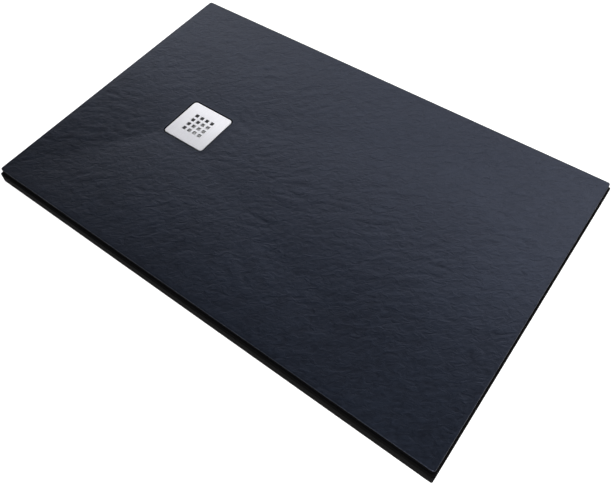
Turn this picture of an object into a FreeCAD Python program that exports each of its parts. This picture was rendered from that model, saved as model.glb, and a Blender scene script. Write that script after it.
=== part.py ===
"""Shower tray: a slate-effect resin slab with its square drain cover, hair strainer and siphon waste.

Frame: origin at the centre of the slab's underside, +Z up, +X from the drain end to the far short end.
The drain lies on the X axis. All sizes are in millimetres.
"""

import FreeCAD, Part
import math
import os
import re
import Sketcher

SIZES = {
    # slab
    "tray_length": 1200,
    "tray_width": 800,
    "tray_height": 45,
    "lip_projection": 5,
    "lip_height": 27,
    "lip_corner": 4,
    "lip_round": 1,
    "slab_corner": 6,
    "edge_round": 1.5,
    "rim_band": 15,
    "surface_fall": 12,
    "drain_offset": 300,
    "recess_depth": 13,
    "recess_round": 0.8,
    "recess_border": 5,
    "land_thickness": 12,
    "underside_play": 5,
    # drain cover
    "cover_side": 125,
    "cover_corner": 9,
    "cover_thickness": 2,
    "cover_round": 1,
    "cover_gap": 2.5,
    "hole_side": 10,
    "hole_pitch": 16.5,
    "hole_rows": 4,
    "stud_radius": 2,
    "stud_end_gap": 2,
    "foot_radius": 5,
    "foot_play": 6,
    "foot_height": 6,
    "lock_nut_flats": 7,
    "lock_nut_height": 2.2,
    # waste flange, gaskets and screws
    "flange_radius": 57,
    "flange_thickness": 3,
    "flange_round": 1,
    "flange_overlap": 12,
    "collar_drop": 4,
    "collar_wall": 1.5,
    "collar_play": 0.5,
    "top_gasket_thickness": 2,
    "bottom_gasket_thickness": 2.5,
    "gasket_margin": 1,
    "screw_count": 4,
    "screw_inset": 5.3,
    "screw_radius": 2,
    "screw_head_radius": 3.9,
    "screw_head_height": 1.9,
    "screw_length": 20,
    "drive_reach": 4.4,
    "drive_width": 1,
    "drive_depth": 1.4,
    "screw_hole_play": 0.3,
    "insert_radius": 2.9,
    "insert_length": 7,
    "insert_room": 3,
    "boss_radius": 4.2,
    "boss_height": 15,
    # trap body
    "body_flange_thickness": 4,
    "neck_play": 1,
    "neck_wall": 3,
    "screw_channel": 5.2,
    "throat_wall": 2.5,
    "throat_height": 8,
    "seat_depth": 9.5,
    "ledge_width": 2.3,
    "ledge_thickness": 2.5,
    "bowl_radius": 50,
    "bowl_wall": 3,
    "bowl_round": 8,
    "outlet_height": 27,
    "outlet_bore": 18,
    "socket_radius": 20.25,
    "socket_depth": 22,
    "spigot_radius": 25,
    "spigot_length": 30,
    "taper_length": 5,
    "taper_rise": 3,
    # removable siphon
    "rim_play": 1,
    "rim_wall": 3.3,
    "rim_height": 8,
    "plate_thickness": 2.5,
    "ring_section": 1.25,
    "ring_inset": 0.55,
    "overflow_gap": 12,
    "seal_depth": 50,
    "tube_end_gap": 12,
    "tube_radius": 16.5,
    "tube_wall": 2,
    "fin_count": 3,
    "fin_thickness": 2,
    "fin_drop": 6,
    "fin_height": 36,
    "cup_play": 0.7,
    "cup_wall": 2,
    "cup_round": 4,
    "cup_foot_gap": 3,
    "tab_angle": 28,
    # hair strainer and its knob
    "strainer_play": 0.3,
    "strainer_thickness": 1,
    "strainer_rise": 3.5,
    "strainer_brim": 2,
    "strainer_slope": 1.7,
    "strainer_margin": 2.8,
    "strainer_first_ring": 8,
    "strainer_rings": 4,
    "strainer_web": 2.2,
    "knob_radius": 5,
    "knob_round": 1.5,
    "knob_height": 9,
    "knob_neck_radius": 2.5,
    "knob_neck_height": 3.5,
    "knob_clip": 1,
    # compression joint of the outlet
    "nut_radius": 30,
    "nut_ribs": 16,
    "nut_rib_radius": 1.6,
    "nut_reach": 14,
    "nut_end_wall": 3,
    "nut_opening": 20.8,
    "seal_bore": 20.3,
    "seal_nose": 4,
    "seal_flange": 24.5,
    "seal_flange_thickness": 5,
    "washer_radius": 24.8,
    "washer_thickness": 1.5,
    # clearance of pieces that fit in one another
    "play": 0.05,
}

doc = FreeCAD.newDocument("ShowerTray")
sheet = doc.addObject("Spreadsheet::Sheet", "Sizes")
for row, (alias, size) in enumerate(SIZES.items(), start=1):
    sheet.set(f"A{row}", alias)
    sheet.set(f"B{row}", str(size))
    sheet.setAlias(f"B{row}", alias)
levels = doc.addObject("App::VarSet", "Levels")
doc.recompute()


def in_document(word):
    """The name of a size as a formula of the document calls it."""
    if word in SIZES:
        return f"Sizes.{word}"
    return f"Levels.{word}" if word in levels.PropertiesList else word


def bind(thing, prop, formula):
    """Binds a property to a formula of the named sizes and levels."""
    thing.setExpression(prop, re.sub(r"[a-z_]+", lambda found: in_document(found.group()), formula))


def derived(name, formula):
    """Keeps a size that follows from others in the document, under its own name."""
    levels.addProperty("App::PropertyFloat", name)
    bind(levels, name, formula)
    return name


def number(name):
    """The present value of a driving or derived size."""
    return float(SIZES[name]) if name in SIZES else getattr(levels, name)


# levels over the slab's underside, from the top down
derived("drain_surface", "tray_height - surface_fall")
derived("cover_underside", "drain_surface - cover_thickness")
derived("recess_floor", "drain_surface - recess_depth")
derived("flange_underside", "recess_floor + top_gasket_thickness")
derived("flange_top", "flange_underside + flange_thickness")
derived("neck_top", "flange_underside - neck_play")
derived("land_underside", "recess_floor - land_thickness")
derived("body_flange_top", "land_underside - bottom_gasket_thickness")
derived("body_flange_underside", "body_flange_top - body_flange_thickness")
derived("seat", "body_flange_top - seat_depth")
derived("boss_top", "seat + boss_height")
derived("throat_top", "seat + throat_height")
derived("ledge_underside", "seat - ledge_thickness")
derived("plate_top", "seat + plate_thickness")
derived("rim_top", "seat + rim_height")
derived("ring_level", "seat + rim_height / 2")
derived("strainer_top", "plate_top + strainer_rise + strainer_thickness")
derived("water_level", "seat - overflow_gap")
derived("tube_end", "water_level - seal_depth")
derived("cup_floor", "tube_end - tube_end_gap")
derived("cup_underside", "cup_floor - cup_wall")
derived("bowl_floor", "cup_underside - cup_foot_gap")
derived("bowl_underside", "bowl_floor - bowl_wall")
derived("outlet_level", "bowl_floor + outlet_height")

# places along the outlet, counted from the drain's axis towards the near short end
derived("spigot_end", "bowl_radius + spigot_length")
derived("seal_face", "spigot_end + seal_flange_thickness")
derived("washer_face", "seal_face + washer_thickness")
derived("nut_face", "washer_face + nut_end_wall")
derived("nut_mouth", "spigot_end - nut_reach")

# radii round the drain's axis, from the flange inwards
derived("trap_room_radius", "flange_radius + underside_play")
derived("waste_hole_radius", "flange_radius - flange_overlap")
derived("neck_radius", "waste_hole_radius - neck_play")
derived("screw_circle", "neck_radius - screw_inset")
derived("neck_bore", "neck_radius - neck_wall")
derived("throat_outside", "neck_bore - screw_channel")
derived("throat_radius", "throat_outside - throat_wall")
derived("flange_opening", "throat_radius + collar_play")
derived("ledge_radius", "throat_radius - ledge_width")
derived("rim_radius", "throat_radius - rim_play")
derived("ring_radius", "rim_radius - ring_inset")
derived("rim_bore", "rim_radius - rim_wall")
derived("cup_radius", "ledge_radius - cup_play")
derived("cup_bore", "cup_radius - cup_wall")
derived("tube_bore", "tube_radius - tube_wall")
derived("chamber_radius", "bowl_radius - bowl_wall")
derived("strainer_radius", "rim_bore - strainer_play")
derived("strainer_foot_radius", "strainer_radius - strainer_brim")
derived("strainer_top_radius", "strainer_foot_radius - strainer_slope")
derived("strainer_last_ring", "strainer_top_radius - strainer_margin")
derived("strainer_pitch", "(strainer_last_ring - strainer_first_ring) / (strainer_rings - 1)")

# widths and places that several pieces share
derived("drain_x", "-drain_offset")
derived("slab_length", "tray_length - 2 * lip_projection")
derived("slab_width", "tray_width - 2 * lip_projection")
derived("fall_length", "slab_length - 2 * rim_band")
derived("fall_width", "slab_width - 2 * rim_band")
derived("recess_side", "cover_side + 2 * cover_gap")
derived("stud_place", "(flange_radius + foot_play + foot_radius) / sqrt(2)")
doc.recompute()

# how near two levels are that count as one, and the size at which a sketch is first drawn
NEAR = 1e-4
DRAWN = 50


# ---- bodies, sketches and features ----


def new_body(label, x="0", y="0", z="0"):
    body = doc.addObject("PartDesign::Body", label)
    body.Label = label
    body.AllowCompound = True
    for axis, formula in zip("xyz", (x, y, z)):
        bind(body, f"Placement.Base.{axis}", formula)
    return body


def own_origin(body, role):
    return next(feature for feature in body.Origin.OriginFeatures if feature.Role == role)


def new_sketch(body, role="XY_Plane", height="0"):
    sketch = body.newObject("Sketcher::SketchObject", f"{body.Label}_sketch")
    sketch.AttachmentSupport = [(own_origin(body, role), "")]
    sketch.MapMode = "FlatFace"
    bind(sketch, "AttachmentOffset.Base.z", height)
    return sketch


def hold_point(sketch, line, end, corner):
    """Holds a point of the sketch at a corner, which is a pair of formulas."""
    here = sketch.getPoint(line, end)
    for kind, start, formula in zip(("DistanceX", "DistanceY"), (here.x, here.y), corner):
        index = sketch.addConstraint(Sketcher.Constraint(kind, -1, 1, line, end, start))
        bind(sketch, f"Constraints[{index}]", formula)


def outline(sketch, corners):
    """A closed outline of straight lines, drawn as a regular polygon and then held by its corners."""
    count = len(corners)
    first = sketch.GeometryCount
    turns = [2 * math.pi * index / count for index in range(count)]
    start = [FreeCAD.Vector(DRAWN * math.cos(turn), DRAWN * math.sin(turn), 0) for turn in turns]
    for index in range(count):
        sketch.addGeometry(Part.LineSegment(start[index], start[(index + 1) % count]))
    for index in range(count):
        following = first + (index + 1) % count
        sketch.addConstraint(Sketcher.Constraint("Coincident", first + index, 2, following, 1))
    for index, corner in enumerate(corners):
        hold_point(sketch, first + index, 1, corner)
    return sketch


def rectangle(sketch, length, width, x="0", y="0"):
    left, right = f"{x} - {length} / 2", f"{x} + {length} / 2"
    low, high = f"{y} - {width} / 2", f"{y} + {width} / 2"
    return outline(sketch, [(left, low), (right, low), (right, high), (left, high)])


def cross(sketch, reach, width, x):
    """The outline of two crossed bars of that reach and width, centred at x."""
    quarter = [(reach, width), (width, width), (width, reach)]
    corners = []
    for side_x, side_y in ((1, 1), (-1, 1), (-1, -1), (1, -1)):
        around = quarter if side_x == side_y else quarter[::-1]
        corners += [(f"{x} + {side_x} * {a} / 2", f"{side_y} * {b} / 2") for a, b in around]
    return outline(sketch, corners)


def circle(sketch, radius, x="0", y="0"):
    drawn = Part.Circle(FreeCAD.Vector(DRAWN, DRAWN, 0), FreeCAD.Vector(0, 0, 1), DRAWN)
    index = sketch.addGeometry(drawn)
    hold_point(sketch, index, 3, (x, y))
    held = sketch.addConstraint(Sketcher.Constraint("Radius", index, DRAWN))
    bind(sketch, f"Constraints[{held}]", radius)
    return sketch


def axis_line(sketch, start, end):
    """A construction line that a revolved feature turns about."""
    line = Part.LineSegment(FreeCAD.Vector(-DRAWN, 0, 0), FreeCAD.Vector(DRAWN, DRAWN, 0))
    index = sketch.addGeometry(line, True)
    hold_point(sketch, index, 1, start)
    hold_point(sketch, index, 2, end)
    return sketch


def extrude(kind, body, sketch, length, backwards=False):
    feature = body.newObject(f"PartDesign::{kind}", f"{body.Label}_{kind.lower()}")
    feature.Profile = sketch
    bind(feature, "Length", length)
    feature.Reversed = backwards
    sketch.Visibility = False
    return feature


def pad(body, sketch, length, backwards=False):
    return extrude("Pad", body, sketch, length, backwards)


def pocket(body, sketch, length, backwards=False):
    return extrude("Pocket", body, sketch, length, backwards)


def turned(kind, body, sketch, axis):
    feature = body.newObject(f"PartDesign::{kind}", f"{body.Label}_{kind.lower()}")
    feature.Profile = sketch
    feature.ReferenceAxis = (sketch, [axis])
    feature.Angle = 360
    return feature


def revolve(body, corners, axis="V_Axis"):
    """A solid turned from an outline in the upright plane, given as (radius, height) corners."""
    return turned("Revolution", body, outline(new_sketch(body, "XZ_Plane"), corners), axis)


def polar(body, features, count, role="Z_Axis"):
    pattern = body.newObject("PartDesign::PolarPattern", f"{body.Label}_pattern")
    pattern.Originals = features
    pattern.Axis = (own_origin(body, role), [""])
    pattern.Angle = 360
    bind(pattern, "Occurrences", count)
    body.Tip = pattern
    return pattern


def round_edges(body, test, radius):
    """Rounds the edges of the body so far that pass the test."""
    doc.recompute()
    base = body.Tip
    edges = enumerate(base.Shape.Edges, start=1)
    names = [f"Edge{index}" for index, edge in edges if test(edge.BoundBox)]
    feature = body.newObject("PartDesign::Fillet", f"{body.Label}_round")
    feature.Base = (base, names)
    bind(feature, "Radius", radius)
    return feature


def is_upright(box):
    return box.XLength < NEAR and box.YLength < NEAR and box.ZLength > NEAR


def is_level(box, height):
    return abs(box.ZMin - height) < NEAR and abs(box.ZMax - height) < NEAR


# ---- slab ----


def tray_slab():
    body = new_body("tray_slab")
    pad(body, rectangle(new_sketch(body), "tray_length", "tray_width"), "lip_height")
    round_edges(body, is_upright, "lip_corner")
    lip_top = number("lip_height")
    round_edges(body, lambda box: is_level(box, lip_top), "lip_round")
    pad(body, rectangle(new_sketch(body), "slab_length", "slab_width"), "tray_height")
    round_edges(body, lambda box: is_upright(box) and box.ZMin > lip_top - NEAR, "slab_corner")
    slab_top = number("tray_height")
    round_edges(body, lambda box: is_level(box, slab_top), "edge_round")
    fall = body.newObject("PartDesign::SubtractiveLoft", "tray_slab_fall")
    fall.Profile = rectangle(new_sketch(body, height="tray_height"), "fall_length", "fall_width")
    border = "(recess_side + 2 * recess_border)"
    foot = rectangle(new_sketch(body, height="drain_surface"), border, border, x="drain_x")
    fall.Sections = [foot]
    fall.Ruled = True
    body.Tip = fall
    recess = new_sketch(body, height="drain_surface")
    pocket(body, rectangle(recess, "recess_side", "recess_side", x="drain_x"), "recess_depth")
    drain_x = number("drain_x")
    half = number("recess_side") / 2

    def in_recess(box):
        return abs(box.Center.x - drain_x) < half + NEAR and abs(box.Center.y) < half + NEAR

    round_edges(body, lambda box: is_upright(box) and in_recess(box), "cover_corner + cover_gap")
    mouth = number("drain_surface")
    round_edges(body, lambda box: is_level(box, mouth) and in_recess(box), "recess_round")
    hole = circle(new_sketch(body, height="recess_floor"), "waste_hole_radius", x="drain_x")
    pocket(body, hole, "recess_floor")
    trap_room = circle(new_sketch(body), "trap_room_radius", x="drain_x")
    pocket(body, trap_room, "land_underside", backwards=True)
    return body


# ---- drain cover ----


def cover_plate():
    body = new_body("cover_plate", x="drain_x", z="cover_underside")
    pad(body, rectangle(new_sketch(body), "cover_side", "cover_side"), "cover_thickness")
    round_edges(body, is_upright, "cover_corner")
    top = number("cover_thickness")
    round_edges(body, lambda box: is_level(box, top), "cover_round")
    corner = "(-(hole_rows - 1) / 2 * hole_pitch)"
    hole = rectangle(new_sketch(body), "hole_side", "hole_side", x=corner, y=corner)
    first = pocket(body, hole, "cover_thickness", backwards=True)
    doc.recompute()
    grid = body.newObject("PartDesign::MultiTransform", "cover_plate_grid")
    grid.Originals = [first]
    rows = []
    for role in ("X_Axis", "Y_Axis"):
        line = body.newObject("PartDesign::LinearPattern", f"cover_plate_row_{role[0].lower()}")
        line.Direction = (own_origin(body, role), [""])
        bind(line, "Length", "(hole_rows - 1) * hole_pitch")
        bind(line, "Occurrences", "hole_rows")
        rows.append(line)
    grid.Transformations = rows
    body.Tip = grid
    return body


def corner_circles(sketch, radius):
    for x in ("-stud_place", "stud_place"):
        for y in ("-stud_place", "stud_place"):
            circle(sketch, radius, x, y)
    return sketch


def cover_studs():
    foot = "(recess_floor + stud_end_gap)"
    body = new_body("cover_studs", x="drain_x", z=foot)
    pad(body, corner_circles(new_sketch(body), "stud_radius"), f"cover_underside - {foot}")
    return body


def cover_feet():
    body = new_body("cover_feet", x="drain_x", z="recess_floor")
    pad(body, corner_circles(new_sketch(body), "foot_radius"), "foot_height")
    socket = corner_circles(new_sketch(body, height="foot_height"), "stud_radius + play")
    pocket(body, socket, "foot_height - stud_end_gap")
    return body


def cover_lock_nuts():
    body = new_body("cover_lock_nuts", x="drain_x", z="recess_floor + foot_height")
    sketch = new_sketch(body)
    for x in ("-stud_place", "stud_place"):
        for y in ("-stud_place", "stud_place"):
            corners = [
                (
                    f"{x} + lock_nut_flats / 2 / cos(30 deg) * cos({60 * turn} deg)",
                    f"{y} + lock_nut_flats / 2 / cos(30 deg) * sin({60 * turn} deg)",
                )
                for turn in range(6)
            ]
            outline(sketch, corners)
            circle(sketch, "stud_radius + play", x, y)
    pad(body, sketch, "lock_nut_height")
    return body


# ---- waste flange, gaskets and screws ----


def gasket(label, level, thickness):
    inner, outer = "waste_hole_radius + gasket_margin", "flange_radius - gasket_margin"
    body = new_body(label, x="drain_x", z=level)
    pad(body, circle(circle(new_sketch(body), outer), inner), thickness)
    return body


def beside_screw(offset):
    return f"(screw_circle + {offset})"


def about_screw_axis(body, corners):
    """A sketch in the upright plane whose outline turns about the first screw's axis."""
    sketch = outline(new_sketch(body, "XZ_Plane"), corners)
    return axis_line(sketch, ("screw_circle", "bowl_underside"), ("screw_circle", "flange_top"))


def waste_top_flange():
    body = new_body("waste_top_flange", x="drain_x")
    collar = "(flange_opening + collar_wall)"
    collar_end = "(flange_underside - collar_drop)"
    revolve(
        body,
        [
            ("flange_opening", collar_end),
            (collar, collar_end),
            (collar, "flange_underside"),
            ("flange_radius", "flange_underside"),
            ("flange_radius", "flange_top"),
            ("flange_opening", "flange_top"),
        ],
    )
    top = number("flange_top")
    round_edges(body, lambda box: is_level(box, top), "flange_round")
    hole = beside_screw("screw_radius + screw_hole_play")
    head = beside_screw("screw_head_radius + play")
    sketch = about_screw_axis(
        body,
        [
            ("screw_circle", "flange_underside"),
            (hole, "flange_underside"),
            (hole, "flange_top - screw_head_height + screw_hole_play"),
            (head, "flange_top"),
            ("screw_circle", "flange_top"),
        ],
    )
    polar(body, [turned("Groove", body, sketch, "Axis0")], "screw_count")
    return body


def flange_screws():
    body = new_body("flange_screws", x="drain_x")
    shank = beside_screw("screw_radius")
    tip = "(flange_top - screw_length)"
    sketch = about_screw_axis(
        body,
        [
            ("screw_circle", tip),
            (shank, tip),
            (shank, "flange_top - screw_head_height"),
            (beside_screw("screw_head_radius"), "flange_top"),
            ("screw_circle", "flange_top"),
        ],
    )
    screw = turned("Revolution", body, sketch, "Axis0")
    recess = cross(new_sketch(body, height="flange_top"), "drive_reach", "drive_width", "screw_circle")
    polar(body, [screw, pocket(body, recess, "drive_depth")], "screw_count")
    return body


def thread_inserts():
    body = new_body("thread_inserts", x="drain_x")
    bore, wall = beside_screw("screw_radius + play"), beside_screw("insert_radius")
    foot = "(boss_top - insert_length)"
    sketch = about_screw_axis(body, [(bore, foot), (wall, foot), (wall, "boss_top"), (bore, "boss_top")])
    polar(body, [turned("Revolution", body, sketch, "Axis0")], "screw_count")
    return body


# ---- trap body ----


def trap_body():
    body = new_body("trap_body", x="drain_x")
    revolve(
        body,
        [
            ("0", "bowl_underside"),
            ("bowl_radius", "bowl_underside"),
            ("bowl_radius", "body_flange_underside"),
            ("flange_radius", "body_flange_underside"),
            ("flange_radius", "body_flange_top"),
            ("neck_radius", "body_flange_top"),
            ("neck_radius", "neck_top"),
            ("0", "neck_top"),
        ],
    )
    foot = number("bowl_underside")
    round_edges(body, lambda box: is_level(box, foot), "bowl_round")
    spigot = circle(new_sketch(body, "YZ_Plane", "-spigot_end"), "spigot_radius", y="outlet_level")
    pad(body, spigot, "spigot_end")
    inside = outline(
        new_sketch(body, "XZ_Plane"),
        [
            ("0", "bowl_floor"),
            ("chamber_radius", "bowl_floor"),
            ("chamber_radius", "ledge_underside"),
            ("ledge_radius", "ledge_underside"),
            ("ledge_radius", "seat"),
            ("throat_radius", "seat"),
            ("throat_radius", "throat_top"),
            ("throat_outside", "throat_top"),
            ("throat_outside", "seat"),
            ("neck_bore", "seat"),
            ("neck_bore", "neck_top"),
            ("0", "neck_top"),
        ],
    )
    turned("Groove", body, inside, "V_Axis")
    floor = number("bowl_floor")
    round_edges(body, lambda box: is_level(box, floor), "bowl_round - bowl_wall")
    boss = circle(new_sketch(body, height="seat"), "boss_radius", x="screw_circle")
    polar(body, [pad(body, boss, "boss_height")], "screw_count")
    bore = circle(new_sketch(body, height="boss_top"), "insert_radius + play", x="screw_circle")
    polar(body, [pocket(body, bore, "insert_length + insert_room")], "screw_count")
    socket = outline(
        new_sketch(body, "XZ_Plane"),
        [
            ("-spigot_end", "outlet_level"),
            ("-spigot_end", "outlet_level + socket_radius + taper_rise"),
            ("taper_length - spigot_end", "outlet_level + socket_radius"),
            ("socket_depth - spigot_end", "outlet_level + socket_radius"),
            ("socket_depth - spigot_end", "outlet_level + outlet_bore"),
            ("0", "outlet_level + outlet_bore"),
            ("0", "outlet_level"),
        ],
    )
    axis_line(socket, ("-spigot_end", "outlet_level"), ("bowl_radius", "outlet_level"))
    turned("Groove", body, socket, "Axis0")
    return body


# ---- removable siphon ----


def siphon_cup():
    body = new_body("siphon_cup", x="drain_x")
    revolve(
        body,
        [
            ("0", "cup_underside"),
            ("cup_radius", "cup_underside"),
            ("cup_radius", "seat"),
            ("cup_bore", "seat"),
            ("cup_bore", "cup_floor"),
            ("0", "cup_floor"),
        ],
    )
    foot, floor = number("cup_underside"), number("cup_floor")
    round_edges(body, lambda box: is_level(box, foot), "cup_round")
    round_edges(body, lambda box: is_level(box, floor), "cup_round - cup_wall")
    # the wall is cut away between the tabs, down to the level at which the water spills over
    reach, half_turn = "2 * cup_radius", "((360 / fin_count - tab_angle) / 2 * 1 deg)"
    across, along = f"{reach} * cos({half_turn})", f"{reach} * sin({half_turn})"
    window = outline(new_sketch(body, height="seat"), [("0", "0"), (across, f"-{along}"), (across, along)])
    polar(body, [pocket(body, window, "overflow_gap")], "fin_count")
    return body


def dip_tube():
    body = new_body("dip_tube", x="drain_x")
    groove = "(ring_radius - ring_section - play)"
    groove_low = "(ring_level - ring_section - play)"
    groove_high = "(ring_level + ring_section + play)"
    revolve(
        body,
        [
            ("tube_bore", "tube_end"),
            ("tube_radius", "tube_end"),
            ("tube_radius", "seat"),
            ("rim_radius", "seat"),
            ("rim_radius", groove_low),
            (groove, groove_low),
            (groove, groove_high),
            ("rim_radius", groove_high),
            ("rim_radius", "rim_top"),
            ("rim_bore", "rim_top"),
            ("rim_bore", "plate_top"),
            ("tube_bore", "plate_top"),
        ],
    )
    tube_middle = "(tube_radius - tube_wall / 2)"
    fin_end = "(cup_bore - 2 * play)"
    fin = rectangle(
        new_sketch(body, height="water_level - fin_drop"),
        f"({fin_end} - {tube_middle})",
        "fin_thickness",
        x=f"-({fin_end} + {tube_middle}) / 2",
    )
    polar(body, [pad(body, fin, "fin_height", backwards=True)], "fin_count")
    return body


def siphon_o_ring():
    o_ring = doc.addObject("Part::Torus", "siphon_o_ring")
    o_ring.Label = "siphon_o_ring"
    bind(o_ring, "Radius1", "ring_radius")
    bind(o_ring, "Radius2", "ring_section")
    bind(o_ring, "Placement.Base.x", "drain_x")
    bind(o_ring, "Placement.Base.z", "ring_level")
    return o_ring


# ---- hair strainer ----


def hair_strainer():
    body = new_body("hair_strainer", x="drain_x", z="plate_top")
    top = "(strainer_rise + strainer_thickness)"
    revolve(
        body,
        [
            ("strainer_radius", "0"),
            ("strainer_radius", "strainer_thickness"),
            ("strainer_foot_radius", "strainer_thickness"),
            ("strainer_top_radius", top),
            ("knob_neck_radius", top),
            ("knob_neck_radius", "strainer_rise"),
            ("strainer_top_radius - strainer_thickness", "strainer_rise"),
            ("strainer_foot_radius - strainer_thickness", "0"),
        ],
    )
    for index in range(SIZES["strainer_rings"]):
        ring_radius = f"(strainer_first_ring + {index} * strainer_pitch)"
        hole = circle(new_sketch(body, height=top), "(strainer_pitch - strainer_web) / 2", x=ring_radius)
        cut = pocket(body, hole, "strainer_thickness")
        polar(body, [cut], f"floor(2 * pi * {ring_radius} / strainer_pitch)")
    return body


def strainer_knob():
    body = new_body("strainer_knob", x="drain_x", z="strainer_top")
    neck = "(knob_neck_radius - play)"
    clip = "(knob_neck_radius + knob_clip)"
    revolve(
        body,
        [
            ("0", "-strainer_thickness - knob_clip"),
            (clip, "-strainer_thickness - knob_clip"),
            (clip, "-strainer_thickness"),
            (neck, "-strainer_thickness"),
            (neck, "knob_neck_height"),
            ("knob_radius", "knob_neck_height + knob_radius - knob_neck_radius"),
            ("knob_radius", "knob_height"),
            ("0", "knob_height"),
        ],
    )
    top = number("knob_height")
    round_edges(body, lambda box: is_level(box, top), "knob_round")
    return body


# ---- compression joint of the outlet ----


def outlet_ring(label, corners):
    """A piece turned about the outlet's axis, from (place along the outlet, radius) corners."""
    body = new_body(label, x="drain_x", z="outlet_level")
    revolve(body, [(f"-{place}", radius) for place, radius in corners], "H_Axis")
    return body


def outlet_nut():
    thread = "(spigot_radius + play)"
    body = outlet_ring(
        "outlet_nut",
        [
            ("nut_mouth", thread),
            ("nut_mouth", "nut_radius"),
            ("nut_face", "nut_radius"),
            ("nut_face", "nut_opening"),
            ("washer_face", "nut_opening"),
            ("washer_face", thread),
        ],
    )
    rib = circle(new_sketch(body, "YZ_Plane", "-nut_face"), "nut_rib_radius", y="nut_radius")
    polar(body, [pad(body, rib, "nut_face - nut_mouth")], "nut_ribs", "X_Axis")
    return body


def outlet_washer():
    corners = [
        ("seal_face", "nut_opening"),
        ("washer_face", "nut_opening"),
        ("washer_face", "washer_radius"),
        ("seal_face", "washer_radius"),
    ]
    return outlet_ring("outlet_washer", corners)


def outlet_cone_seal():
    nose = "(spigot_end - seal_nose)"
    corners = [
        (nose, "seal_bore"),
        (nose, "socket_radius + taper_rise * (1 - seal_nose / taper_length) - play"),
        ("spigot_end", "socket_radius + taper_rise - play"),
        ("spigot_end", "seal_flange"),
        ("seal_face", "seal_flange"),
        ("seal_face", "seal_bore"),
    ]
    return outlet_ring("outlet_cone_seal", corners)


# ---- the tray ----


NODES = [
    tray_slab(),
    cover_plate(),
    cover_studs(),
    cover_lock_nuts(),
    cover_feet(),
    hair_strainer(),
    strainer_knob(),
    dip_tube(),
    siphon_cup(),
    siphon_o_ring(),
    waste_top_flange(),
    flange_screws(),
    gasket("top_gasket", "recess_floor", "top_gasket_thickness"),
    gasket("bottom_gasket", "body_flange_top", "bottom_gasket_thickness"),
    trap_body(),
    thread_inserts(),
    outlet_nut(),
    outlet_washer(),
    outlet_cone_seal(),
]

doc.recompute()
failed = [item.Label for item in doc.Objects if {"Invalid", "Error"} & set(item.State)]
if failed:
    raise RuntimeError(f"these objects failed: {failed}")
for node in NODES:
    if node.Shape.isNull() or not node.Shape.isValid():
        raise RuntimeError(f"{node.Label} has no valid shape")

os.makedirs("parts", exist_ok=True)
for node in NODES:
    node.Shape.exportStep(f"parts/{node.Label}.step")
    box = node.Shape.BoundBox
    print(
        f"{node.Label}: {len(node.Shape.Solids)} solids, {node.Shape.Volume / 1000:.2f} cm3,",
        f"x {box.XMin:.1f} to {box.XMax:.1f}, y {box.YMin:.1f} to {box.YMax:.1f},",
        f"z {box.ZMin:.1f} to {box.ZMax:.1f}",
    )
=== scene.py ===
"""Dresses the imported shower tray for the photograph's view.

The slab is rebuilt as one dense mesh with its slate relief. Every other piece keeps its solid and
gets its finish here. Camera, meshes and bumps are sized in millimetres, which become metres when
they are made. The lights are placed in metres.
"""

import math

import bmesh
import bpy
import numpy as np
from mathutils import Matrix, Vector, noise


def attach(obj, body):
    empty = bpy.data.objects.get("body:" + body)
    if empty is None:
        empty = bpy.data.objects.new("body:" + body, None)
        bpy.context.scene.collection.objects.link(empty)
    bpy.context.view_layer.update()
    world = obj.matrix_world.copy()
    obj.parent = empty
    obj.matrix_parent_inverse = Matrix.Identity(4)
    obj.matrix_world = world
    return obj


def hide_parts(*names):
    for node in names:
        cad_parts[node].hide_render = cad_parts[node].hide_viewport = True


MM = 0.001

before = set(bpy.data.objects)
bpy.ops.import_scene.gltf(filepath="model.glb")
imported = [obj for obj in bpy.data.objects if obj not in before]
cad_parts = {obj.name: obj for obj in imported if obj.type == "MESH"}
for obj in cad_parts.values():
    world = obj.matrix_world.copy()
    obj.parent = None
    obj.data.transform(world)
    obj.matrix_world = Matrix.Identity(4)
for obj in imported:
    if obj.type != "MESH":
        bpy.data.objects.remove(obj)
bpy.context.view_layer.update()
scene = bpy.context.scene

# ---- camera ----

IMAGE_WIDTH = 614
IMAGE_HEIGHT = 486
FOCAL_PIXELS = 661.1
CENTRE_PIXEL = (265.5, 221.9)
CAMERA_PLACE = (608.6, -786.6, 1237.4)
CAMERA_TURN = (35.858, 3.011, 37.889)
SENSOR_WIDTH = 36
CLIP_START = 10.0

camera_data = bpy.data.cameras.new("camera")
camera_data.sensor_width = SENSOR_WIDTH
camera_data.lens = FOCAL_PIXELS / IMAGE_WIDTH * SENSOR_WIDTH
camera_data.shift_x = (IMAGE_WIDTH / 2 - CENTRE_PIXEL[0]) / IMAGE_WIDTH
camera_data.shift_y = (CENTRE_PIXEL[1] - IMAGE_HEIGHT / 2) / IMAGE_WIDTH
camera_data.clip_start = CLIP_START * MM
camera = bpy.data.objects.new("camera", camera_data)
scene.collection.objects.link(camera)
camera.location = Vector(CAMERA_PLACE) * MM
camera.rotation_euler = [math.radians(turn) for turn in CAMERA_TURN]
scene.camera = camera


# ---- materials ----

# Nearly all the values of a noise texture lie between these two.
NOISE_LOW = 0.3
NOISE_HIGH = 0.7


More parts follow.
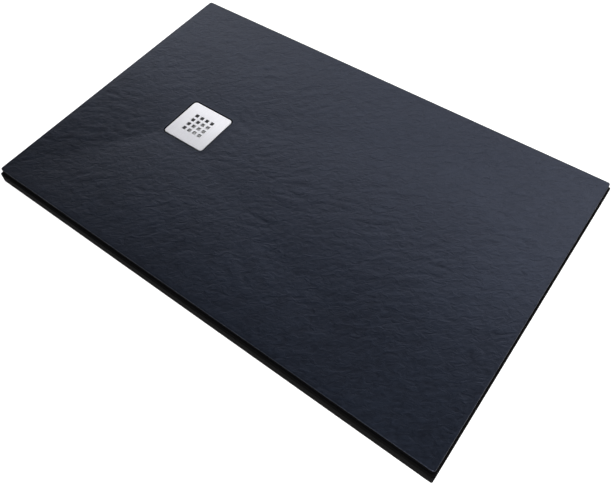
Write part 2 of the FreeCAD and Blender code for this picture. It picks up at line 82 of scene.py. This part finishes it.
class Nodes:
    """The nodes of a material or a world, built from short calls."""

    def __init__(self, tree, shader):
        self.tree = tree
        self.shader = tree.nodes[shader]

    def add(self, kind, **inputs):
        node = self.tree.nodes.new(kind)
        for name, value in inputs.items():
            self.feed(node, name, value)
        return node

    def feed(self, node, name, value):
        """Sets an input, given by name or number, to a constant or links it to a socket."""
        socket = node.inputs[name]
        if isinstance(value, bpy.types.NodeSocket):
            self.tree.links.new(value, socket)
        else:
            socket.default_value = value

    def set(self, name, value):
        """Feeds the shader itself."""
        self.feed(self.shader, name, value)

    def span(self, value, low, high, start=NOISE_LOW, end=NOISE_HIGH):
        """The value, carried from the span start to end onto the span low to high."""
        ends = {"From Min": start, "From Max": end, "To Min": low, "To Max": high}
        return self.add("ShaderNodeMapRange", Value=value, **ends).outputs["Result"]

    def math(self, operation, first, second):
        node = self.add("ShaderNodeMath")
        node.operation = operation
        self.feed(node, 0, first)
        self.feed(node, 1, second)
        return node.outputs["Value"]

    def weighted(self, *terms):
        """The sum of (value, weight) terms."""
        total, *others = [self.math("MULTIPLY", value, weight) for value, weight in terms]
        for other in others:
            total = self.math("ADD", total, other)
        return total

    def background_rays(self):
        """Two flags of the ray at hand: seen straight, and seen in or through something."""
        path = self.add("ShaderNodeLightPath").outputs
        mirrored = self.math("MAXIMUM", path["Is Glossy Ray"], path["Is Transmission Ray"])
        return path["Is Camera Ray"], mirrored


class Look(Nodes):
    """A node material."""

    def __init__(self, name):
        self.material = bpy.data.materials.new(name)
        self.material.use_nodes = True
        super().__init__(self.material.node_tree, "Principled BSDF")
        self.place = self.add("ShaderNodeTexCoord").outputs["Object"]

    def stretched(self, scale, turn=0.0):
        """The place, turned back by that angle about Z and then scaled along its axes."""
        place = self.place
        if turn:
            turned = self.add("ShaderNodeMapping", Vector=place, Rotation=(0, 0, -turn))
            place = turned.outputs["Vector"]
        return self.add("ShaderNodeMapping", Vector=place, Scale=scale).outputs["Vector"]

    def noise(self, scale, detail=3.0, rough=0.5, warp=0.0, place=None):
        """Noise of about that many features a metre, at the place or at another vector."""
        settings = {"Scale": scale, "Detail": detail, "Roughness": rough, "Distortion": warp}
        node = self.add("ShaderNodeTexNoise", Vector=place or self.place, **settings)
        return node.outputs["Fac"]

    def shades(self, value, *stops):
        """A colour ramp over value, from (place, colour) stops."""
        node = self.add("ShaderNodeValToRGB", Fac=value)
        ramp = node.color_ramp
        while len(ramp.elements) < len(stops):
            ramp.elements.new(0.5)
        for element, (place, colour) in zip(ramp.elements, stops):
            element.position = place
            element.color = (*colour, 1)
        return node.outputs["Color"]

    def bump(self, height, depth, strength, under=None):
        """Bump of that depth in millimetres, over what is already there."""
        node = self.add("ShaderNodeBump", Height=height, Strength=strength, Distance=depth * MM)
        if under is not None:
            self.feed(node, "Normal", under)
        return node.outputs["Normal"]


def brighter(colour, factor):
    return tuple(channel * factor for channel in colour)


# The slate's wrinkles run along this direction, in its bump and in its relief.
WRINKLE_TURN = math.radians(38)
SLATE_DARK = (0.0008, 0.0014, 0.0030)
SLATE_PALE = (0.0060, 0.0088, 0.0152)
# The shine is real, but its blue tint is painted light: it stands in for the colour of the light
# the resin reflects.
SLATE_SHEEN_PAINTED_BLUE = (0.62, 0.70, 1.0, 1.0)
SLATE_BUMP = 0.85
GRAIN_BUMP = 0.03


def slate_look():
    """Riven resin: a dark base, a painted blue tint on its shine, and wrinkles too small for the
    mesh.
    """
    look = Look("slate_resin")
    broad = look.noise(3.2, detail=4.0, rough=0.6, warp=0.4)
    fine_place = look.stretched((0.6, 1.0, 1.0), WRINKLE_TURN)
    fine = look.noise(160.0, detail=5.0, rough=0.65, warp=0.2, place=fine_place)
    wrinkle_place = look.stretched((0.55, 1.0, 1.0), WRINKLE_TURN)
    wrinkles = look.noise(84.0, detail=4.0, rough=0.55, warp=1.1, place=wrinkle_place)
    mixed = look.weighted((wrinkles, 0.45), (fine, 0.25), (broad, 0.3))
    look.set("Base Color", look.shades(mixed, (0.38, SLATE_DARK), (0.62, SLATE_PALE)))
    look.set("Roughness", look.span(fine, 0.33, 0.42))
    look.set("IOR", 1.5)
    look.set("Specular IOR Level", 0.5)
    look.set("Specular Tint", SLATE_SHEEN_PAINTED_BLUE)
    grain = look.noise(900.0, rough=0.6)
    under = look.bump(grain, GRAIN_BUMP, strength=0.5)
    look.set("Normal", look.bump(wrinkles, SLATE_BUMP, strength=1.0, under=under))
    return look.material


def cast_look(name, dark, pale, shine):
    """The slab's smooth cast faces, without the slate's relief."""
    look = Look(name)
    fine = look.noise(210.0, detail=4.0, rough=0.6)
    look.set("Base Color", look.shades(fine, (NOISE_LOW, dark), (NOISE_HIGH, pale)))
    look.set("Roughness", look.span(fine, 0.62, 0.78))
    look.set("Specular IOR Level", shine)
    look.set("Normal", look.bump(fine, 0.10, strength=0.5))
    return look.material


BRUSH_ALONG = 2.0
BRUSH_ACROSS = 900.0
BRUSH_BUMP = 0.004
BRUSH_ANISOTROPY = 0.6


def brushed_look(name, colour, rough, axis="X"):
    """Brushed stainless steel, with the lines of the brush along X or Y."""
    look = Look(name)
    if axis == "X":
        scale, other_axis = (BRUSH_ALONG, BRUSH_ACROSS, BRUSH_ACROSS), "Y"
    else:
        scale, other_axis = (BRUSH_ACROSS, BRUSH_ALONG, BRUSH_ACROSS), "X"
    lines = look.noise(1.0, rough=0.6, place=look.stretched(scale))
    cloud = look.noise(24.0)
    worn, bright = brighter(colour, 0.93), brighter(colour, 1.04)
    look.set("Base Color", look.shades(lines, (0.25, worn), (0.75, bright)))
    both = look.weighted((lines, 0.6), (cloud, 0.4))
    look.set("Roughness", look.span(both, rough - 0.06, rough + 0.07))
    look.set("Metallic", 1.0)
    look.set("Anisotropic", BRUSH_ANISOTROPY)
    look.set("Tangent", look.add("ShaderNodeCombineXYZ", **{other_axis: 1.0}).outputs["Vector"])
    look.set("Normal", look.bump(lines, BRUSH_BUMP, strength=0.6))
    return look.material


def moulded_look(name, colour, rough):
    """Injection-moulded plastic with a fine spark-eroded skin."""
    look = Look(name)
    skin = look.noise(1400.0, detail=2.0)
    cloud = look.noise(38.0)
    dark, pale = brighter(colour, 0.96), brighter(colour, 1.04)
    look.set("Base Color", look.shades(cloud, (NOISE_LOW, dark), (NOISE_HIGH, pale)))
    look.set("Roughness", look.span(cloud, rough - 0.05, rough + 0.06))
    look.set("IOR", 1.49)
    look.set("Normal", look.bump(skin, 0.015, strength=0.5))
    return look.material


def rubber_look(name, colour):
    """Dark rubber, paler where dust lies on it."""
    look = Look(name)
    dust = look.noise(75.0, detail=4.0, rough=0.6)
    skin = look.noise(700.0, rough=0.55)
    look.set("Base Color", look.shades(dust, (0.35, colour), (0.75, brighter(colour, 1.35))))
    look.set("Roughness", look.span(dust, 0.62, 0.8))
    look.set("Normal", look.bump(skin, 0.03, strength=0.6))
    return look.material


BRASS_DARK = (0.60, 0.42, 0.17)
BRASS_PALE = (0.72, 0.53, 0.24)


def brass_look():
    """Turned brass, with the tool's fine rings round Z."""
    look = Look("insert_brass")
    lines = look.noise(1.0, rough=0.6, place=look.stretched((60.0, 60.0, 2600.0)))
    look.set("Base Color", look.shades(lines, (NOISE_LOW, BRASS_DARK), (NOISE_HIGH, BRASS_PALE)))
    look.set("Roughness", look.span(lines, 0.26, 0.4))
    look.set("Metallic", 1.0)
    look.set("Normal", look.bump(lines, 0.01, strength=0.5))
    return look.material


# ---- slab ----

# The slab's sizes. Heights are measured from the bedding face.
HALF_LENGTH = 600.0
HALF_WIDTH = 400.0
LIP = 5.0
LIP_HEIGHT = 27.0
LIP_CORNER = 4.0
LIP_ROUND = 1.0
LIP_NOOK = 0.6
FOOT_BEVEL = 0.5
SLAB_CORNER = 6.0
EDGE_ROUND = 1.5
RIM_HEIGHT = 45.0
RIM_BAND = 15.0
SURFACE = 33.0
DRAIN_X = -300.0
RECESS_HALF = 65.0
RECESS_CORNER = 11.5
RECESS_ROUND = 0.8
BORDER_HALF = 70.0
RECESS_FLOOR = 20.0
FLOOR_ROUND = 1.0
LAND_UNDERSIDE = 8.0
WASTE_HOLE = 45.0
HOLE_BEVEL = 0.5
TRAP_ROOM = 62.0

# Below this height the recess is painted lighter than its resin: painted light, so its form shows
# in its shade when the cover is off.
RECESS_PAINTED_LIGHT_BELOW = 25.0

# The heights of the rings that only divide a plain face.
UPPER_SIDE_RINGS = (38.0, 33.0)
LIP_SIDE_RINGS = (18.0, 9.0)
RECESS_RING = 29.0

# How far across such a face its rings lie, from the grid to the recess's mouth and from the
# recess's wall to the waste hole.
MOUTH_SHARES = (0.5, 1.0)
FLOOR_SHARES = (0.35, 0.7, 1.0)

# The middle of the recess's lower round lies this share of its radius from both faces.
BEND_SHARE = 0.3

GRID_STEP = 2.9
HOLE_MARGIN = 4.0
ARC_STEPS = 4

# The power that rounds the valleys where the falls to the drain meet.
VALLEY_POWER = 9

# The relief. Depths are in millimetres, and rates are features a metre, along the wrinkles and
# across them. A slice is where its noise is cut, so that no two layers are alike. A fractal is the
# noise's dimension, lacunarity and octaves, and for the ridged wrinkles their offset and gain.
WAVE_DEPTH = 0.35
WAVE_RATES = (5.0, 9.0)
WAVE_SLICE = 1.3
WAVE_FRACTAL = (0.9, 2.1, 3)
WRINKLE_DEPTH = 0.29
WRINKLE_RATES = (19.0, 37.0)
WRINKLE_SLICE = 5.7
WRINKLE_FRACTAL = (0.95, 2.15, 2, 1.0, 1.8)

# The wrinkles come in clumps. Between the clumps they have the least share of their depth, and
# within them up to this much more. A clump rises between these two values of its noise.
CLUMP_RATE = 7.0
CLUMP_SHIFT = (3.1, 0.4, 2.2)
CLUMP_RISE = (-0.5, 0.5)
CLUMP_LEAST = 0.45
CLUMP_MORE = 0.9

# What bends the waves and wrinkles: features a metre, and the reach in metres.
SMALL_BEND = (11.0, 0.016)
LARGE_BEND = (3.0, 0.07)

# The relief has its whole depth this far from the rim and the recess. Near them it fades, and up
# to these distances it keeps only these shares.
FADE_END = 14.0
RIM_NEAR = 1.0
RIM_SHARE = 0.25
DRAIN_NEAR = 0.5
DRAIN_SHARE = 0.15

# The slab's materials, in the order of its slots.
SLATE, UPPER_SIDE, LIP_SIDE, INSIDE_PAINTED_LIGHT = range(4)

# noise_vector shifts its noise by random offsets. The seed keeps them the same in each run.
RELIEF_SEED = 7
noise.seed_set(RELIEF_SEED)


def smooth(value, start, end):
    """A share from 0 at start to 1 at end, level at both."""
    share = min(max((value - start) / (end - start), 0.0), 1.0)
    return share * share * (3 - 2 * share)


def fall_height(x, y):
    """The top's height before its relief: level at the rim, with falls to the drain."""
    far = HALF_LENGTH - LIP - RIM_BAND
    room_x = (far - DRAIN_X if x > DRAIN_X else far + DRAIN_X) - BORDER_HALF
    room_y = HALF_WIDTH - LIP - RIM_BAND - BORDER_HALF
    along = max((abs(x - DRAIN_X) - BORDER_HALF) / room_x, 0.0)
    across = max((abs(y) - BORDER_HALF) / room_y, 0.0)
    share = (along**VALLEY_POWER + across**VALLEY_POWER) ** (1 / VALLEY_POWER)
    return SURFACE + (RIM_HEIGHT - SURFACE) * min(share, 1.0)


def riven(x, y):
    """Depth of the slate relief in millimetres: low waves under clumps of short soft wrinkles."""
    place = Vector((x, y, 0.0)) * MM
    bent = place.copy()
    for rate, reach in (SMALL_BEND, LARGE_BEND):
        bent += noise.noise_vector(place * rate) * reach
    along = bent.x * math.cos(WRINKLE_TURN) + bent.y * math.sin(WRINKLE_TURN)
    across = bent.y * math.cos(WRINKLE_TURN) - bent.x * math.sin(WRINKLE_TURN)
    spot = Vector((along * WAVE_RATES[0], across * WAVE_RATES[1], WAVE_SLICE))
    wave = noise.fractal(spot, *WAVE_FRACTAL)
    spot = Vector((along * WRINKLE_RATES[0], across * WRINKLE_RATES[1], WRINKLE_SLICE))
    wrinkle = noise.ridged_multi_fractal(spot, *WRINKLE_FRACTAL)
    crowd = noise.noise(place * CLUMP_RATE + Vector(CLUMP_SHIFT))
    clump = CLUMP_LEAST + CLUMP_MORE * smooth(crowd, *CLUMP_RISE)
    return WAVE_DEPTH * (0.5 + 0.5 * wave) + WRINKLE_DEPTH * clump * wrinkle


def surface_height(x, y):
    """The top's height with its relief."""
    edge = min(HALF_LENGTH - LIP - abs(x), HALF_WIDTH - LIP - abs(y))
    drain = max(abs(x - DRAIN_X), abs(y)) - RECESS_HALF
    rim_fade = RIM_SHARE + (1 - RIM_SHARE) * smooth(edge, RIM_NEAR, FADE_END)
    drain_fade = DRAIN_SHARE + (1 - DRAIN_SHARE) * smooth(drain, DRAIN_NEAR, FADE_END)
    return fall_height(x, y) - rim_fade * drain_fade * riven(x, y)


NO_LENGTH = 1e-9


def on_outline(point, half_x, half_y, corner, centre=0.0):
    """A point of a plain rectangle's edge, moved onto the same rectangle with round corners."""
    x, y = point[0] - centre, point[1]
    inner_x = min(max(x, corner - half_x), half_x - corner)
    inner_y = min(max(y, corner - half_y), half_y - corner)
    away = Vector((x - inner_x, y - inner_y))
    if away.length < NO_LENGTH:
        return (point[0], y)
    away = away.normalized() * corner
    return (inner_x + away.x + centre, inner_y + away.y)


def arc(radius):
    """(inward, down) offsets along a quarter round, from its level end to its upright end."""
    turns = [math.pi / 2 * step / ARC_STEPS for step in range(ARC_STEPS + 1)]
    return [(radius * (1 - math.sin(turn)), radius * (1 - math.cos(turn))) for turn in turns]


def spaced(half):
    """Even places from -half to half, about GRID_STEP apart."""
    return np.linspace(-half, half, round(2 * half / GRID_STEP) + 1).tolist()


class Slab:
    """The slab's mesh: a grid over its top, and rings that grow down from the grid's two edges."""

    def __init__(self):
        self.mesh = bmesh.new()
        self.half_x = HALF_LENGTH - LIP - EDGE_ROUND
        self.half_y = HALF_WIDTH - LIP - EDGE_ROUND
        self.xs, self.ys = spaced(self.half_x), spaced(self.half_y)
        reach = RECESS_HALF + HOLE_MARGIN
        self.left = max(i for i, x in enumerate(self.xs) if x < DRAIN_X - reach)
        self.right = min(i for i, x in enumerate(self.xs) if x > DRAIN_X + reach)
        self.low = max(j for j, y in enumerate(self.ys) if y < -reach)
        self.high = min(j for j, y in enumerate(self.ys) if y > reach)
        self.last_x, self.last_y = len(self.xs) - 1, len(self.ys) - 1
        self.grid = {}

    def grow(self, edge, places, height, side):
        """Quads from an edge to a new ring over the places, at one height or a list of heights.

        Returns the new ring.
        """
        heights = height if isinstance(height, list) else [height] * len(places)
        ring = [self.mesh.verts.new((x, y, level)) for (x, y), level in zip(places, heights)]
        for index in range(len(edge)):
            following = (index + 1) % len(edge)
            corners = (edge[index], ring[index], ring[following], edge[following])
            self.mesh.faces.new(corners).material_index = side
        return ring

    def loop_of(self, i0, i1, j0, j1):
        """The grid's points round a block of its cells, and their places before any rounding."""
        keys = [(i, j0) for i in range(i0, i1)] + [(i1, j) for j in range(j0, j1)]
        keys += [(i, j1) for i in range(i1, i0, -1)] + [(i0, j) for j in range(j1, j0, -1)]
        return [self.grid[key] for key in keys], [(self.xs[i], self.ys[j]) for i, j in keys]

    def lay_top(self):
        """The slate surface, with a square left open round the recess."""
        for i, x in enumerate(self.xs):
            for j, y in enumerate(self.ys):
                if self.left < i < self.right and self.low < j < self.high:
                    continue
                place = (x, y)
                if i in (0, self.last_x) or j in (0, self.last_y):
                    place = on_outline(place, self.half_x, self.half_y, SLAB_CORNER - EDGE_ROUND)
                self.grid[i, j] = self.mesh.verts.new((*place, surface_height(*place)))
        for i in range(self.last_x):
            for j in range(self.last_y):
                if self.left <= i < self.right and self.low <= j < self.high:
                    continue
                corners = ((i, j), (i + 1, j), (i + 1, j + 1), (i, j + 1))
                self.mesh.faces.new([self.grid[corner] for corner in corners])

    def outer_places(self, plain, inset, corner):
        """The top's outline, carried to a rectangle that far inside the slab's largest one."""
        half = (HALF_LENGTH - inset, HALF_WIDTH - inset)
        scale_x, scale_y = half[0] / self.half_x, half[1] / self.half_y
        return [on_outline((x * scale_x, y * scale_y), *half, corner) for x, y in plain]

    def wrap_side(self):
        """The outer side, from the top's edge down. Returns the ring of the underside."""
        edge, plain = self.loop_of(0, self.last_x, 0, self.last_y)
        tops = [vertex.co.z for vertex in edge]
        for inward, down in arc(EDGE_ROUND)[1:]:
            places = self.outer_places(plain, LIP + inward, SLAB_CORNER - inward)
            level = RIM_HEIGHT - down
            share = 1 - down / EDGE_ROUND
            heights = [level + (top - RIM_HEIGHT) * share for top in tops]
            edge = self.grow(edge, places, heights, SLATE)
        upper = self.outer_places(plain, LIP, SLAB_CORNER)
        for height in (*UPPER_SIDE_RINGS, LIP_HEIGHT + LIP_NOOK):
            edge = self.grow(edge, upper, height, UPPER_SIDE)
        nook = self.outer_places(plain, LIP - LIP_NOOK, SLAB_CORNER)
        edge = self.grow(edge, nook, LIP_HEIGHT, UPPER_SIDE)
        for inward, down in arc(LIP_ROUND):
            places = self.outer_places(plain, inward, LIP_CORNER - inward)
            edge = self.grow(edge, places, LIP_HEIGHT - down, LIP_SIDE)
        lip = self.outer_places(plain, 0.0, LIP_CORNER)
        for height in (*LIP_SIDE_RINGS, FOOT_BEVEL):
            edge = self.grow(edge, lip, height, LIP_SIDE)
        foot = self.outer_places(plain, FOOT_BEVEL, LIP_CORNER - FOOT_BEVEL)
        return self.grow(edge, foot, 0.0, LIP_SIDE)

    def sink_recess(self):
        """The recess, waste hole and trap room, from the top down. Returns the lowest ring."""
        edge, square = self.loop_of(self.left, self.right, self.low, self.high)
        edge.reverse()
        square.reverse()
        square_half = self.xs[self.right] - DRAIN_X

        def recess_places(half, corner):
            """The open square, carried to a square of that half width with round corners."""
            carried = []
            for x, y in square:
                side_x = square_half if x > DRAIN_X else DRAIN_X - self.xs[self.left]
                side_y = self.ys[self.high] if y > 0 else -self.ys[self.low]
                carried.append(((x - DRAIN_X) / side_x * half + DRAIN_X, y / side_y * half))
            return [on_outline(place, half, half, corner, DRAIN_X) for place in carried]

        mouth = RECESS_HALF + RECESS_ROUND
        for share in MOUTH_SHARES:
            half = square_half + (mouth - square_half) * share
            places = recess_places(half, (RECESS_CORNER + RECESS_ROUND) * share)
            edge = self.grow(edge, places, [surface_height(*place) for place in places], SLATE)
        brink = [vertex.co.z for vertex in edge]
        for inward, down in arc(RECESS_ROUND)[1:]:
            places = recess_places(RECESS_HALF + inward, RECESS_CORNER + inward)
            share = 1 - down / RECESS_ROUND
            heights = [SURFACE - down + (top - SURFACE) * share for top in brink]
            edge = self.grow(edge, places, heights, UPPER_SIDE)
        wall = recess_places(RECESS_HALF, RECESS_CORNER)
        edge = self.grow(edge, wall, RECESS_RING, UPPER_SIDE)
        for height in (RECESS_PAINTED_LIGHT_BELOW, RECESS_FLOOR + FLOOR_ROUND):
            edge = self.grow(edge, wall, height, INSIDE_PAINTED_LIGHT)
        bend = FLOOR_ROUND * BEND_SHARE
        bent = recess_places(RECESS_HALF - bend, RECESS_CORNER - bend)
        edge = self.grow(edge, bent, RECESS_FLOOR + bend, INSIDE_PAINTED_LIGHT)
        floor = recess_places(RECESS_HALF - FLOOR_ROUND, RECESS_CORNER - FLOOR_ROUND)
        edge = self.grow(edge, floor, RECESS_FLOOR, INSIDE_PAINTED_LIGHT)

        def circle_places(radius):
            turns = [math.atan2(y, x - DRAIN_X) for x, y in floor]
            return [(radius * math.cos(turn) + DRAIN_X, radius * math.sin(turn)) for turn in turns]

        hole = circle_places(WASTE_HOLE + HOLE_BEVEL)
        for share in FLOOR_SHARES:
            places = [tuple(Vector(a).lerp(Vector(b), share)) for a, b in zip(floor, hole)]
            edge = self.grow(edge, places, RECESS_FLOOR, INSIDE_PAINTED_LIGHT)
        for radius, height in (
            (WASTE_HOLE, RECESS_FLOOR - HOLE_BEVEL),
            (WASTE_HOLE, LAND_UNDERSIDE),
            (TRAP_ROOM, LAND_UNDERSIDE),
            (TRAP_ROOM, 0.0),
        ):
            edge = self.grow(edge, circle_places(radius), height, INSIDE_PAINTED_LIGHT)
        return edge

    def close_underside(self, *rings):
        """Flat faces between the rings."""
        pairs = [pair for ring in rings for pair in zip(ring, ring[1:] + ring[:1])]
        edges = [self.mesh.edges.get(pair) for pair in pairs]
        down = (0, 0, -1)
        filled = bmesh.ops.triangle_fill(self.mesh, use_beauty=True, normal=down, edges=edges)
        for face in filled["geom"]:
            if isinstance(face, bmesh.types.BMFace):
                face.material_index = LIP_SIDE


def finished(mesh, name, smooth_shaded):
    """An object in the scene made from a mesh in millimetres."""
    bmesh.ops.scale(mesh, vec=(MM, MM, MM), verts=mesh.verts)
    data = bpy.data.meshes.new(name)
    mesh.to_mesh(data)
    mesh.free()
    if smooth_shaded:
        data.shade_smooth()
    made = bpy.data.objects.new(name, data)
    scene.collection.objects.link(made)
    return made


def build_slab():
    slab = Slab()
    slab.lay_top()
    bottom = slab.wrap_side()
    room = slab.sink_recess()
    slab.close_underside(bottom, room)
    bmesh.ops.recalc_face_normals(slab.mesh, faces=slab.mesh.faces)
    return finished(slab.mesh, "slate_slab", smooth_shaded=True)


slab = build_slab()
for material in (
    slate_look(),
    cast_look("slab_side", (0.0026, 0.0026, 0.0030), (0.0040, 0.0040, 0.0046), 0.004),
    cast_look("slab_lip", (0.0050, 0.0048, 0.0048), (0.0070, 0.0068, 0.0068), 0.012),
    # A paler copy of the cast resin: painted light in the shade of the recess, the waste hole and
    # the trap room.
    cast_look("slab_recess_painted_light", (0.011, 0.012, 0.014), (0.018, 0.019, 0.023), 0.15),
):
    slab.data.materials.append(material)
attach(slab, "tray")
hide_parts("tray_slab")

# ---- finishes of the carried-over nodes ----

FINISHES = {
    "cover_plate": brushed_look("cover_steel", (0.79, 0.79, 0.83), 0.40, axis="Y"),
    "cover_studs": brushed_look("stud_steel", (0.62, 0.62, 0.63), 0.30),
    "cover_lock_nuts": brushed_look("lock_nut_steel", (0.64, 0.64, 0.65), 0.28),
    "cover_feet": rubber_look("foot_rubber", (0.022, 0.022, 0.023)),
    "hair_strainer": moulded_look("strainer_plastic", (0.80, 0.80, 0.81), 0.45),
    "strainer_knob": moulded_look("knob_plastic", (0.60, 0.60, 0.61), 0.3),
    "waste_top_flange": moulded_look("flange_plastic", (0.10, 0.102, 0.108), 0.45),
    "flange_screws": brushed_look("screw_steel", (0.58, 0.58, 0.59), 0.28),
    "top_gasket": rubber_look("gasket_rubber", (0.030, 0.030, 0.031)),
    "bottom_gasket": rubber_look("lower_gasket_rubber", (0.030, 0.030, 0.031)),
    "trap_body": moulded_look("trap_plastic", (0.20, 0.205, 0.21), 0.4),
    "thread_inserts": brass_look(),
    "siphon_cup": moulded_look("cup_plastic", (0.60, 0.60, 0.61), 0.4),
    "dip_tube": moulded_look("tube_plastic", (0.66, 0.66, 0.67), 0.38),
    "siphon_o_ring": rubber_look("o_ring_rubber", (0.015, 0.015, 0.016)),
    "outlet_nut": moulded_look("nut_plastic", (0.15, 0.153, 0.16), 0.42),
    "outlet_washer": moulded_look("washer_plastic", (0.68, 0.68, 0.66), 0.4),
    "outlet_cone_seal": rubber_look("cone_seal_rubber", (0.028, 0.028, 0.029)),
}
for node_name, finish in FINISHES.items():
    for material_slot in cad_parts[node_name].material_slots:
        material_slot.material = finish


# ---- floor, backdrop and light ----

WHITE = (1, 1, 1, 1)
FLOOR_COLOUR = (0.75, 0.75, 0.75, 1)
FLOOR_GLOW = 0.66
FLOOR_RADIUS = 2200.0
FLOOR_SEGMENTS = 96


def white_look():
    """White to the camera and in reflections, and still dark under the tray."""
    look = Look("studio_white")
    look.set("Base Color", FLOOR_COLOUR)
    look.set("Roughness", 0.9)
    look.set("Specular IOR Level", 0.1)
    look.set("Emission Color", WHITE)
    seen = look.math("MAXIMUM", *look.background_rays())
    look.set("Emission Strength", look.math("MULTIPLY", seen, FLOOR_GLOW))
    return look.material


def build_floor():
    """A round floor with a hole under the drain, where the trap hangs in its floor recess."""
    mesh = bmesh.new()

    def circle(radius, centre):
        turns = [2 * math.pi * step / FLOOR_SEGMENTS for step in range(FLOOR_SEGMENTS)]
        places = [(radius * math.cos(turn) + centre, radius * math.sin(turn)) for turn in turns]
        return [mesh.verts.new((x, y, 0.0)) for x, y in places]

    inner, outer = circle(TRAP_ROOM, DRAIN_X), circle(FLOOR_RADIUS, 0.0)
    for index in range(FLOOR_SEGMENTS):
        following = (index + 1) % FLOOR_SEGMENTS
        mesh.faces.new((inner[index], outer[index], outer[following], inner[following]))
    floor = finished(mesh, "floor", smooth_shaded=False)
    floor.data.materials.append(white_look())
    return floor


build_floor()

# The white surround fades between these heights of a direction, down to the ceiling's brightness.
WALL_FADE = 0.05
WALL_TOP = 0.22
CEILING = 0.10


def build_world():
    """White to the camera. Reflections see white walls that darken towards a dim ceiling."""
    world = bpy.data.worlds.new("studio")
    world.use_nodes = True
    surround = Nodes(world.node_tree, "Background")
    direction = surround.add("ShaderNodeTexCoord").outputs["Generated"]
    height = surround.add("ShaderNodeSeparateXYZ", Vector=direction).outputs["Z"]
    walls = surround.span(height, 1.0, CEILING, WALL_FADE, WALL_TOP)
    straight, mirrored = surround.background_rays()
    seen = surround.math("MAXIMUM", straight, surround.math("MULTIPLY", mirrored, walls))
    surround.set("Color", WHITE)
    surround.set("Strength", surround.math("MAXIMUM", seen, CEILING))
    return world


scene.world = build_world()


def softbox(name, place, target, size, power):
    """A soft rectangular light, in metres and watts, that faces its target."""
    data = bpy.data.lights.new(name, "AREA")
    data.shape = "RECTANGLE"
    data.size, data.size_y = size
    data.energy = power
    lamp = bpy.data.objects.new(name, data)
    scene.collection.objects.link(lamp)
    lamp.location = place
    lamp.rotation_euler = (Vector(target) - Vector(place)).to_track_quat("-Z", "Y").to_euler()


softbox("back_light", (-2.0, 2.2, 2.25), (-2.0, 0, 0), (11.0, 1.25), 93)
softbox("back_right_light", (1.0, 2.2, 2.25), (0.6, 0, 0), (2.0, 1.2), 5)
softbox("front_light", (1.78, -1.8, 2.8), (-0.2, 0, 0), (0.7, 0.7), 92)

scene.view_settings.view_transform = "Standard"
